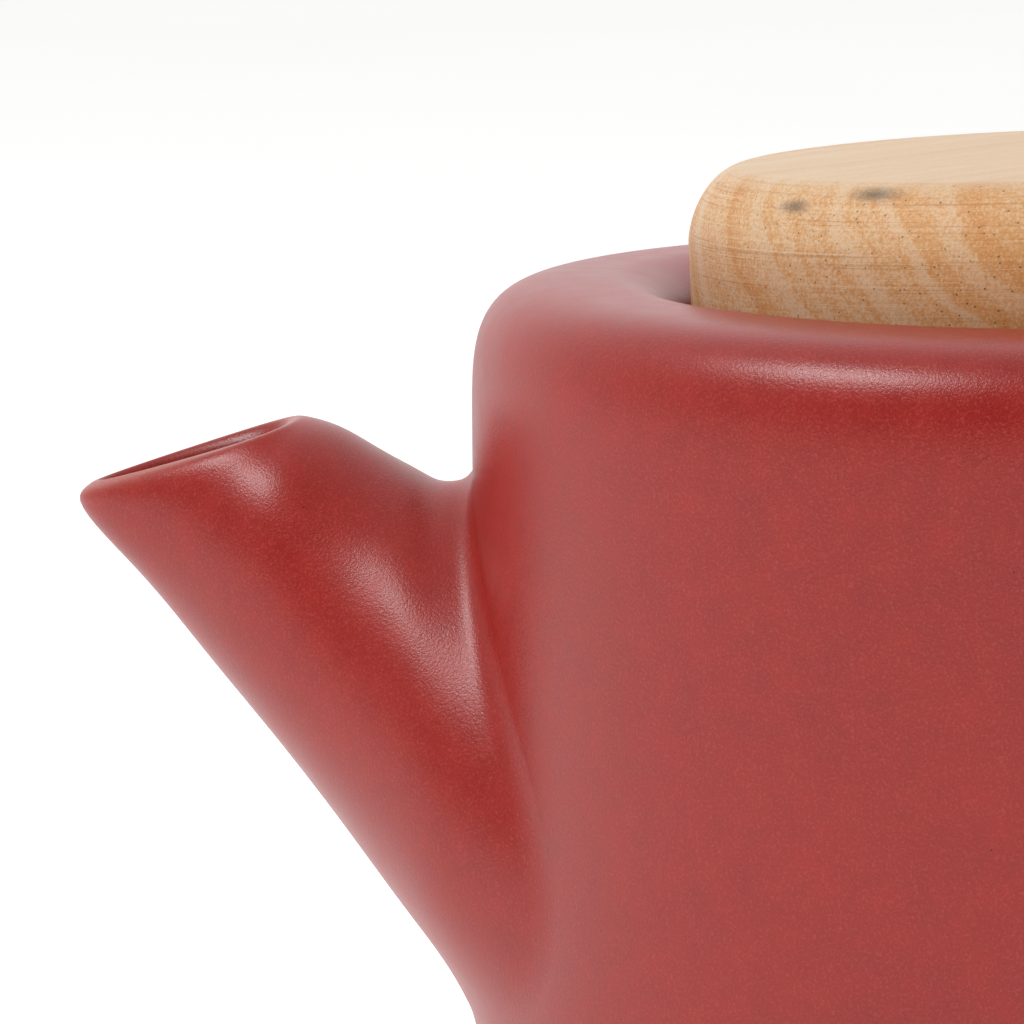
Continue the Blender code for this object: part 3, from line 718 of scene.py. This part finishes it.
# ---- Infuser base ring -------------------------------------------------------------------
# Pressed from the same sheet as the collar: an upright band with a lip turned in under the base.
RING_INNER = BASKET_RADIUS + GAP
RING_OUTER = RING_INNER + COLLAR_STEEL
ring_outline = [
    (RING_INNER, BASKET_BOTTOM + 5 * MM, 0.25 * MM), (RING_OUTER, BASKET_BOTTOM + 5 * MM, 0.25 * MM),
    (RING_OUTER, BASKET_BOTTOM, 1.2 * MM), (RING_INNER - 4.4 * MM, BASKET_BOTTOM, 0.3 * MM),
    (RING_INNER - 4.4 * MM, BASKET_BOTTOM + COLLAR_STEEL, 0.3 * MM),
    (RING_INNER, BASKET_BOTTOM + COLLAR_STEEL, 0.2 * MM),
]
pressed_ring = turned("pressed_base_ring", rounded(ring_outline), closed=True)
pressed_ring.data.materials.append(spun_steel)
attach(pressed_ring, "infuser")
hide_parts("infuser_base_ring")

# ---- Infuser base ------------------------------------------------------------------------
# A flat punched disc that drops into the base ring and is spot-welded to its lip.
BASE_LOW = BASKET_BOTTOM + COLLAR_STEEL + GAP
BASE_RADIUS = BASKET_RADIUS - SHEET_STEEL - GAP
BASE_PITCH = 3.2 * MM
BASE_FIELD = 25.5 * MM
DISC_SHARP_ANGLE = math.radians(20)
PUNCH_LENGTH = 4 * MM
base_outline = [(0.0, BASE_LOW + SHEET_STEEL, 0.0), (BASE_RADIUS, BASE_LOW + SHEET_STEEL, 0.12 * MM),
                (BASE_RADIUS, BASE_LOW, 0.12 * MM), (0.0, BASE_LOW, 0.0)]
perforated_base = turned("perforated_base", rounded(base_outline, 2), closed=False, steps=120)

drilled = bpy.data.node_groups.new("punched disc", "GeometryNodeTree")
drilled.interface.new_socket("Geometry", in_out="OUTPUT", socket_type="NodeSocketGeometry")
drilled.interface.new_socket("Disc", in_out="INPUT", socket_type="NodeSocketGeometry")
sizes = {}
for title, kind, value in (("Pitch", "NodeSocketFloat", BASE_PITCH),
                           ("Hole Radius", "NodeSocketFloat", HOLE_RADIUS),
                           ("Field Radius", "NodeSocketFloat", BASE_FIELD),
                           ("Level", "NodeSocketFloat", BASE_LOW),
                           ("Across", "NodeSocketInt", 2 * int(BASE_FIELD / BASE_PITCH) + 3),
                           ("Material", "NodeSocketMaterial", None)):
    sizes[drilled.interface.new_socket(title, in_out="INPUT", socket_type=kind).identifier] = value
given = add(drilled, "NodeGroupInput").outputs
count = add(drilled, "ShaderNodeMath", {0: given["Across"], 1: given["Across"]}, operation="MULTIPLY")
spots = add(drilled, "GeometryNodePoints", {"Count": count.outputs[0]})
index = add(drilled, "GeometryNodeInputIndex").outputs[0]
row = add(drilled, "ShaderNodeMath", {0: index, 1: given["Across"]}, operation="DIVIDE")
row = add(drilled, "ShaderNodeMath", {0: row.outputs[0]}, operation="FLOOR")
column = add(drilled, "ShaderNodeMath", {0: index, 1: given["Across"]}, operation="MODULO")
half = add(drilled, "ShaderNodeMath", {0: given["Across"], 1: 2.0}, operation="DIVIDE")
half = add(drilled, "ShaderNodeMath", {0: half.outputs[0]}, operation="FLOOR")
row = add(drilled, "ShaderNodeMath", {0: row.outputs[0], 1: half.outputs[0]}, operation="SUBTRACT")
column = add(drilled, "ShaderNodeMath", {0: column.outputs[0], 1: half.outputs[0]}, operation="SUBTRACT")
odd = add(drilled, "ShaderNodeMath", {0: row.outputs[0], 1: 2.0}, operation="FLOORED_MODULO")
shift = add(drilled, "ShaderNodeMath", {0: odd.outputs[0], 1: 0.5, 2: column.outputs[0]},
            operation="MULTIPLY_ADD")
x = add(drilled, "ShaderNodeMath", {0: shift.outputs[0], 1: given["Pitch"]}, operation="MULTIPLY")
y = add(drilled, "ShaderNodeMath", {0: row.outputs[0], 1: given["Pitch"]}, operation="MULTIPLY")
y = add(drilled, "ShaderNodeMath", {0: y.outputs[0], 1: math.sqrt(3) / 2}, operation="MULTIPLY")
spot = add(drilled, "ShaderNodeCombineXYZ", {0: x.outputs[0], 1: y.outputs[0]})
spots = add(drilled, "GeometryNodeSetPosition", {"Geometry": spots.outputs[0], "Position": spot.outputs[0]})
place = add(drilled, "ShaderNodeCombineXYZ", {2: given["Level"]})
far = add(drilled, "ShaderNodeVectorMath", {0: add(drilled, "GeometryNodeInputPosition").outputs[0]},
          operation="LENGTH")
outside = add(drilled, "FunctionNodeCompare", {0: far.outputs["Value"], 1: given["Field Radius"]},
              operation="GREATER_THAN")
spots = add(drilled, "GeometryNodeDeleteGeometry",
            {"Geometry": spots.outputs[0], "Selection": outside.outputs[0]})
spots = add(drilled, "GeometryNodeSetPosition", {"Geometry": spots.outputs[0], "Offset": place.outputs[0]})
punch = add(drilled, "GeometryNodeMeshCylinder",
            {"Vertices": 12, "Radius": given["Hole Radius"], "Depth": PUNCH_LENGTH})
punches = add(drilled, "GeometryNodeInstanceOnPoints",
              {"Points": spots.outputs[0], "Instance": punch.outputs[0]})
punches = add(drilled, "GeometryNodeRealizeInstances", {"Geometry": punches.outputs[0]})
disc = add(drilled, "GeometryNodeMeshBoolean", {"Mesh 1": given["Disc"], "Mesh 2": punches.outputs[0]},
           operation="DIFFERENCE",
           solver="EXACT")
disc = add(drilled, "GeometryNodeSetMaterial", {"Geometry": disc.outputs[0], "Material": given["Material"]})
add(drilled, "NodeGroupOutput", {0: disc.outputs[0]})
grow(perforated_base, drilled, sizes, punched_steel)
perforated_base.data.shade_smooth()
perforated_base.data.set_sharp_from_angle(angle=DISC_SHARP_ANGLE)
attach(perforated_base, "infuser")
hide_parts("infuser_base")

# ---- Lid ---------------------------------------------------------------------------------
# One disc of acacia turned on a lathe, with a grooved plug below. It has no knob: two fingers take
# its rounded edge. It sits a little askew on its seal, high on the handle side.
LID_LEAN = math.radians(2.65)
LID_RADIUS = 40.4 * MM
LID_TOP = 14.1 * MM
LID_ROUND_START = 5.7 * MM
LID_FLAT_RADIUS = 34.4 * MM
LID_POWER = 1.73
LID_UNDERSIDE = -4.3 * MM
PLUG_RADIUS = 31.6 * MM
PLUG_BOTTOM = -11.3 * MM
GROOVE_RADIUS = 29.4 * MM
GROOVE_TOP = -6.2 * MM
GROOVE_BOTTOM = -9.6 * MM

lid_outline = [(0.0, LID_TOP, 0.0), (0.5 * LID_FLAT_RADIUS, LID_TOP, 0.0)]
lid_outline += plain(roll((LID_RADIUS, LID_ROUND_START), (LID_FLAT_RADIUS, LID_TOP), LID_POWER, 26))
lid_outline += [
    (LID_RADIUS, LID_UNDERSIDE, 0.8 * MM), (PLUG_RADIUS, LID_UNDERSIDE, 0.4 * MM),
    (PLUG_RADIUS, GROOVE_TOP, 0.3 * MM), (GROOVE_RADIUS, GROOVE_TOP, 0.2 * MM),
    (GROOVE_RADIUS, GROOVE_BOTTOM, 0.2 * MM), (PLUG_RADIUS, GROOVE_BOTTOM, 0.3 * MM),
    (PLUG_RADIUS, PLUG_BOTTOM, 0.8 * MM), (0.0, PLUG_BOTTOM, 0.0),
]
wooden_lid = turned("wooden_lid", rounded(lid_outline), closed=False)
lid_seat = Matrix.Translation((0, 0, CREST_HEIGHT)) @ Matrix.Rotation(-LID_LEAN, 4, "Y")
wooden_lid.data.transform(lid_seat)

# Turned and lightly oiled acacia. The grain runs across the disc, so that its end shows as pores
# and fine flecks on the near edge, growth layers slant down it, and lathe lines ring it.
GRAIN_TURN = math.radians(47)
PITH = (-75 * MM, 60 * MM)
WOOD_PALE = "D9B791"
WOOD_TAN = "D2A06A"
WOOD_ORANGE = "C98644"
WOOD_BROWN = "9C612D"
# Paler wood painted on the lid's top as painted light.
WOOD_TOP_PAINTED_LIGHT = "DCC4A6"
FLECK_PALE = "E2C6A0"
PORE_BROWN = "5E3A20"
KNOT_GREY = "5F5344"
KNOTS = (((-26.6, -27.0, 11.6), 2.6), ((-17.9, -32.2, 13.0), 3.6))
LAYER_WIDTH = 4.6 * MM
FIBRE_WIDTH = 0.26 * MM
PORE_SPACING = 0.95 * MM
FLECK_SPACING = 0.40 * MM
LATHE_LINE = 0.22 * MM

acacia, tree, shader = new_material("turned acacia")
place = add(tree, "ShaderNodeTexCoord").outputs["Object"]
own = add(tree, "ShaderNodeMapping",
          {"Vector": place, "Location": (0, 0, CREST_HEIGHT), "Rotation": (0, -LID_LEAN, 0)},
          vector_type="TEXTURE").outputs[0]
around = add(tree, "ShaderNodeSeparateXYZ", {0: own}).outputs
flat = add(tree, "ShaderNodeCombineXYZ", {0: around["X"], 1: around["Y"]})
radius = add(tree, "ShaderNodeVectorMath", {0: flat.outputs[0]}, operation="LENGTH")
on_side = add(tree, "ShaderNodeMapRange", {"Value": radius.outputs["Value"], "From Min": LID_FLAT_RADIUS,
                                           "From Max": LID_RADIUS - 3 * MM})
# Growth layers are shells about a pith beside the disc, and they wander a little along the grain.
grain = add(tree, "ShaderNodeMapping", {"Vector": own, "Rotation": (0, 0, GRAIN_TURN)},
            vector_type="TEXTURE").outputs[0]
fibre_place = add(tree, "ShaderNodeMapping", {"Vector": grain, "Scale": (0.05, 1.0, 1.0)}).outputs[0]
fibre = add(tree, "ShaderNodeTexNoise",
            {"Vector": fibre_place, "Scale": 1 / FIBRE_WIDTH, "Detail": 3.0, "Roughness": 0.65})
drift_place = add(tree, "ShaderNodeMapping", {"Vector": grain, "Scale": (0.25, 1.0, 1.0)}).outputs[0]
drift = add(tree, "ShaderNodeTexNoise", {"Vector": drift_place, "Scale": 1 / (11 * MM), "Detail": 3.0})
apart = add(tree, "ShaderNodeSeparateXYZ", {0: grain})
sideways = add(tree, "ShaderNodeMath", {0: apart.outputs["Y"], 1: PITH[0]}, operation="SUBTRACT")
upward = add(tree, "ShaderNodeMath", {0: apart.outputs["Z"], 1: PITH[1]}, operation="SUBTRACT")
from_pith = add(tree, "ShaderNodeCombineXYZ", {0: sideways.outputs[0], 1: upward.outputs[0]})
from_pith = add(tree, "ShaderNodeVectorMath", {0: from_pith.outputs[0]}, operation="LENGTH")
wander = add(tree, "ShaderNodeMath", {0: drift.outputs["Fac"], 1: 7 * MM, 2: from_pith.outputs["Value"]},
             operation="MULTIPLY_ADD")
layers = add(tree, "ShaderNodeTexNoise", {"W": wander.outputs[0], "Scale": 1 / LAYER_WIDTH, "Detail": 3.5},
             noise_dimensions="1D")
mottle = add(tree, "ShaderNodeTexNoise", {"Vector": own, "Scale": 1 / FLECK_SPACING, "Detail": 2.0})
grainy = add(tree, "ShaderNodeMath", {0: mottle.outputs["Fac"], 1: 0.8, 2: layers.outputs["Fac"]},
             operation="MULTIPLY_ADD")
wood = add(tree, "ShaderNodeValToRGB", {"Fac": grainy.outputs[0]},
           stops=[(0.55, WOOD_ORANGE), (1.0, WOOD_PALE), (0.85, WOOD_TAN)])
# The wood turns more orange towards the disc's right.
orange_to_right = add(tree, "ShaderNodeMapRange",
            {"Value": around["X"], "From Min": -30 * MM, "From Max": 30 * MM, "To Max": 0.55})
wood = add(tree, "ShaderNodeMix", {0: orange_to_right.outputs[0], 6: wood.outputs["Color"], 7: linear(WOOD_ORANGE)},
           data_type="RGBA")
streak = add(tree, "ShaderNodeMapRange",
             {"Value": fibre.outputs["Fac"], "From Min": 0.5, "From Max": 0.75, "To Max": 0.5})
flecks = add(tree, "ShaderNodeTexVoronoi", {"Vector": own, "Scale": 1 / FLECK_SPACING})
fleck = add(tree, "ShaderNodeMapRange", {"Value": flecks.outputs["Distance"], "From Min": 0.1,
                                         "From Max": 0.42, "To Min": 0.5, "To Max": 0.0})
pores = add(tree, "ShaderNodeTexVoronoi", {"Vector": fibre_place, "Scale": 1 / PORE_SPACING})
pore = add(tree, "ShaderNodeMapRange", {"Value": pores.outputs["Distance"], "From Min": 0.06,
                                        "From Max": 0.15, "To Min": 0.85, "To Max": 0.0})
# The top is painted paler than the side, as painted light on the face that looks up to the lamp.
top_painted_light = add(tree, "ShaderNodeMapRange", {"Value": on_side.outputs[0], "To Min": 0.6, "To Max": 0.0})
ring_place = add(tree, "ShaderNodeMapping", {"Vector": own, "Scale": (25.0, 25.0, 1 / LATHE_LINE)}).outputs[0]
rings = add(tree, "ShaderNodeTexNoise", {"Vector": ring_place, "Scale": 1.0, "Detail": 3.0, "Roughness": 0.6})
scratch = add(tree, "ShaderNodeMapRange",
              {"Value": rings.outputs["Fac"], "From Min": 0.56, "From Max": 0.72, "To Max": 0.65})
scratch = add(tree, "ShaderNodeMath", {0: scratch.outputs[0], 1: on_side.outputs[0]}, operation="MULTIPLY")
groove = add(tree, "ShaderNodeMapRange",
             {"Value": rings.outputs["Fac"], "From Min": 0.44, "From Max": 0.3, "To Max": 0.5})
groove = add(tree, "ShaderNodeMath", {0: groove.outputs[0], 1: on_side.outputs[0]}, operation="MULTIPLY")
# Each layer goes over the one before it.
wood_layers = [(streak, WOOD_BROWN), (fleck, FLECK_PALE), (pore, PORE_BROWN)]
wood_layers += [(top_painted_light, WOOD_TOP_PAINTED_LIGHT), (scratch, FLECK_PALE), (groove, WOOD_BROWN)]
for share, code in wood_layers:
    over = {0: share.outputs[0], 6: wood.outputs[2], 7: linear(code)}
    wood = add(tree, "ShaderNodeMix", over, data_type="RGBA")
# Two small grey knots lie on the near arris.
for centre, length in KNOTS:
    centre_place = tuple(c * MM for c in centre)
    size = (1 / (length * MM), 1 / (length * MM), 1 / (0.85 * MM))
    offset = add(tree, "ShaderNodeVectorMath", {0: own, 1: centre_place}, operation="SUBTRACT")
    offset = add(tree, "ShaderNodeVectorMath", {0: offset.outputs[0], 1: size}, operation="MULTIPLY")
    offset = add(tree, "ShaderNodeVectorMath", {0: offset.outputs[0]}, operation="LENGTH")
    ragged = add(tree, "ShaderNodeMath", {0: fibre.outputs["Fac"], 1: 1.6, 2: offset.outputs["Value"]},
                 operation="MULTIPLY_ADD")
    knot = add(tree, "ShaderNodeMapRange",
               {"Value": ragged.outputs[0], "From Min": 0.9, "From Max": 1.9, "To Min": 0.85, "To Max": 0.0})
    wood = add(tree, "ShaderNodeMix", {0: knot.outputs[0], 6: wood.outputs[2], 7: linear(KNOT_GREY)},
               data_type="RGBA")
tree.links.new(wood.outputs[2], shader.inputs["Base Color"])
dry = add(tree, "ShaderNodeMapRange", {"Value": fibre.outputs["Fac"], "To Min": 0.48, "To Max": 0.66})
tree.links.new(dry.outputs[0], shader.inputs["Roughness"])
relief = add(tree, "ShaderNodeMath", {0: pore.outputs[0], 1: -0.8, 2: fibre.outputs["Fac"]},
             operation="MULTIPLY_ADD")
turning = add(tree, "ShaderNodeMath", {0: rings.outputs["Fac"], 1: on_side.outputs[0], 2: relief.outputs[0]},
              operation="MULTIPLY_ADD")
bump = add(tree, "ShaderNodeBump", {"Height": turning.outputs[0], "Strength": 0.5, "Distance": 0.06 * MM})
tree.links.new(bump.outputs[0], shader.inputs["Normal"])

wooden_lid.data.materials.append(acacia)
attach(wooden_lid, "lid")
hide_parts("lid")

# ---- Lid seal ----------------------------------------------------------------------------
# A moulded silicone ring stretched into the plug's groove, with a bead that grips the collar.
SEAL_RADIUS = 32.6 * MM
seal_low, seal_high = GROOVE_BOTTOM + GAP, GROOVE_TOP - GAP
seal_half = (seal_high - seal_low) / 2
seal_outline = [(GROOVE_RADIUS + GAP, seal_high)]
seal_outline += arc((SEAL_RADIUS - seal_half, seal_low + seal_half), seal_half, 90, -90, 16)
seal_outline += [(GROOVE_RADIUS + GAP, seal_low)]
seal_ring = turned("seal_ring", seal_outline, closed=True)
seal_ring.data.transform(lid_seat)

silicone, tree, shader = new_material("milky silicone")
place = add(tree, "ShaderNodeTexCoord").outputs["Object"]
bloom = add(tree, "ShaderNodeTexNoise", {"Vector": place, "Scale": 1 / (2 * MM), "Detail": 3.0})
milk = add(tree, "ShaderNodeValToRGB", {"Fac": bloom.outputs["Fac"]},
           stops=[(0.3, "D5D3C9"), (0.7, "E6E4DB")])
tree.links.new(milk.outputs["Color"], shader.inputs["Base Color"])
soft = add(tree, "ShaderNodeMapRange", {"Value": bloom.outputs["Fac"], "To Min": 0.38, "To Max": 0.55})
tree.links.new(soft.outputs[0], shader.inputs["Roughness"])
shader.inputs["Subsurface Weight"].default_value = 0.25
shader.inputs["Subsurface Scale"].default_value = 1.5 * MM
shader.inputs["IOR"].default_value = 1.41
seal_ring.data.materials.append(silicone)
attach(seal_ring, "lid")
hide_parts("lid_seal")

# ---- Floor, light and camera -------------------------------------------------------------
# A white table in a white room, under a long soft box high on the front left, with a dim fill.
FLOOR_HALF = 8.0
FLOOR_GAP = 0.02 * MM
PAPER_GLOW = 0.38
floor_mesh = bmesh.new()
bmesh.ops.create_grid(floor_mesh, x_segments=1, y_segments=1, size=FLOOR_HALF)
floor = new_piece("white_table", floor_mesh)
floor.location.z = pot_low.z - FLOOR_GAP
paper, tree, shader = new_material("white paper sweep")
place = add(tree, "ShaderNodeTexCoord").outputs["Object"]
pulp = add(tree, "ShaderNodeTexNoise", {"Vector": place, "Scale": 3.0, "Detail": 2.0})
white = add(tree, "ShaderNodeValToRGB", {"Fac": pulp.outputs["Fac"]},
            stops=[(0.3, "F2F2F1"), (0.7, "F4F4F3")])
tree.links.new(white.outputs["Color"], shader.inputs["Base Color"])
shader.inputs["Roughness"].default_value = 0.9
shader.inputs["Specular IOR Level"].default_value = 0.0
shader.inputs["Emission Color"].default_value = (1.0, 1.0, 1.0, 1.0)
shader.inputs["Emission Strength"].default_value = PAPER_GLOW
floor.data.materials.append(paper)

SOFT_BOX_TOWARDS = Vector((-0.50, -0.38, 0.78)).normalized()
SOFT_BOX_LONG = Vector((-0.51, 0.54, -0.06))
SOFT_BOX_DISTANCE = 1.3
SOFT_BOX_WATTS = 9.0
soft_box = bpy.data.lights.new("soft_box", "AREA")
soft_box.shape = "RECTANGLE"
soft_box.size = 0.60
soft_box.size_y = 0.20
soft_box.energy = SOFT_BOX_WATTS
box_light = bpy.data.objects.new("soft_box", soft_box)
bpy.context.scene.collection.objects.link(box_light)
sideways = (SOFT_BOX_LONG - SOFT_BOX_TOWARDS * SOFT_BOX_LONG.dot(SOFT_BOX_TOWARDS)).normalized()
box_axes = Matrix((sideways, SOFT_BOX_TOWARDS.cross(sideways), SOFT_BOX_TOWARDS)).transposed()
box_place = Vector((0, 0, CREST_HEIGHT)) + SOFT_BOX_TOWARDS * SOFT_BOX_DISTANCE
box_light.matrix_world = Matrix.Translation(box_place) @ box_axes.to_4x4()
box_light.visible_camera = False

ROOM_SLOPE = (-0.04, 0.6, 0.0)
ROOM_LEVEL = 0.62
ROOM_LEAST = 0.15
world = bpy.data.worlds.new("white room")
bpy.context.scene.world = world
world.use_nodes = True
tree = world.node_tree
room = tree.nodes["Background"]
towards = add(tree, "ShaderNodeTexCoord").outputs["Generated"]
# The room is brightest behind the table and dim on the camera's side.
behind = add(tree, "ShaderNodeVectorMath", {0: towards, 1: ROOM_SLOPE}, operation="DOT_PRODUCT")
wash = add(tree, "ShaderNodeMath", {0: behind.outputs["Value"], 1: ROOM_LEVEL}, operation="ADD")
wash = add(tree, "ShaderNodeMath", {0: wash.outputs[0], 1: ROOM_LEAST}, operation="MAXIMUM")
tree.links.new(wash.outputs[0], room.inputs["Strength"])
room.inputs["Color"].default_value = (1.0, 1.0, 1.0, 1.0)

# A broad, dim fill on the camera's right, which no surface reflects as a highlight.
FILL_WIDTH = 0.9
FILL_WATTS = 4.0
FILL_DISTANCE = 1.5
fill = bpy.data.lights.new("fill", "AREA")
fill.size = FILL_WIDTH
fill.energy = FILL_WATTS
fill_light = bpy.data.objects.new("fill", fill)
bpy.context.scene.collection.objects.link(fill_light)
FILL_TOWARDS = Vector((0.45, -0.85, 0.28)).normalized()
fill_turn = FILL_TOWARDS.to_track_quat("Z", "Y").to_matrix().to_4x4()
fill_light.matrix_world = Matrix.Translation(FILL_TOWARDS * FILL_DISTANCE) @ fill_turn
fill_light.visible_glossy = False
fill_light.visible_camera = False

CAMERA_DISTANCE = 0.5529
CAMERA_RISE = 0.0588
CAMERA_DIP = 8.824
CAMERA_ROLL = 0.047
CAMERA_TURN = 6.283
CAMERA_LENS = 172.65
camera = bpy.data.objects.new("camera", bpy.data.cameras.new("camera"))
bpy.context.scene.collection.objects.link(camera)
camera.location = (0.0001, -CAMERA_DISTANCE, CREST_HEIGHT + CAMERA_RISE)
camera.rotation_euler = [math.radians(turn) for turn in (90 - CAMERA_DIP, CAMERA_ROLL, CAMERA_TURN)]
camera.data.lens = CAMERA_LENS
camera.data.sensor_width = 36.0
camera.data.clip_start = 0.01
bpy.context.scene.camera = camera
bpy.context.scene.view_settings.view_transform = "Standard"
